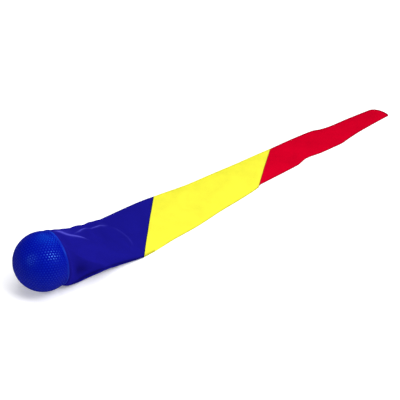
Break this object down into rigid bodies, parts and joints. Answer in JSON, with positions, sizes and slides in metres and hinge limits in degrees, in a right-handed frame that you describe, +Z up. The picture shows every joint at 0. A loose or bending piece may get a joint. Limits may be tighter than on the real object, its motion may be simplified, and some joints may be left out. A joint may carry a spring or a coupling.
{
  "type": "tail ball",
  "caption": "Tail ball: a pimpled blue ball held in the mouth of a long tapered cloth sock in blue, yellow and red, lying flat; the tail bends up and down.",
  "frame": {"origin": "middle of the part's box, on the surface it lies on", "axes": "+X along the tail from the ball to the tip, +Y across the tail to its sewn edge, +Z up from the surface"},
  "size_m": [0.829, 0.1336, 0.1],
  "materials": {
    "ball": "glossy soft PVC with moulded pimples",
    "ring": "smooth satin soft PVC",
    "valve_rubber": "matt rubber",
    "blue_cloth": "light woven polyester with a soft sheen",
    "yellow_cloth": "light woven polyester with a soft sheen",
    "red_cloth": "light woven polyester with a soft sheen",
    "seam_thread": "sewn seam in thread of the cloth's colour"
  },
  "bodies": {
    "ball": {"ball_skin": "ball", "valve_plug": "valve_rubber", "mouth_ring": "ring", "blue_cloth_neck": "blue_cloth"},
    "tail_front": {"blue_cloth_rear": "blue_cloth", "blue_yellow_seam": "seam_thread", "yellow_cloth_front": "yellow_cloth", "side_seam_front": "seam_thread"},
    "tail_middle": {"yellow_cloth_rear": "yellow_cloth", "yellow_red_seam": "seam_thread", "red_cloth_front": "red_cloth", "side_seam_middle": "seam_thread"},
    "tail_tip": {"red_cloth_tip": "red_cloth", "side_seam_tip": "seam_thread", "tip_tack": "seam_thread"}
  },
  "joints": [
    {"name": "blue_bend", "type": "hinge", "parent": "ball", "child": "tail_front", "pos_m": [-0.2145, 0.00165, 0.002], "axis": [0, -1, 0], "range_deg": [-90, 90]},
    {"name": "yellow_bend", "type": "hinge", "parent": "tail_front", "child": "tail_middle", "pos_m": [-0.00167, 0.00165, 0.002], "axis": [0, -1, 0], "range_deg": [-90, 90]},
    {"name": "red_bend", "type": "hinge", "parent": "tail_middle", "child": "tail_tip", "pos_m": [0.29284, 0.00165, 0.002], "axis": [0, -1, 0], "range_deg": [-90, 90]}
  ]
}
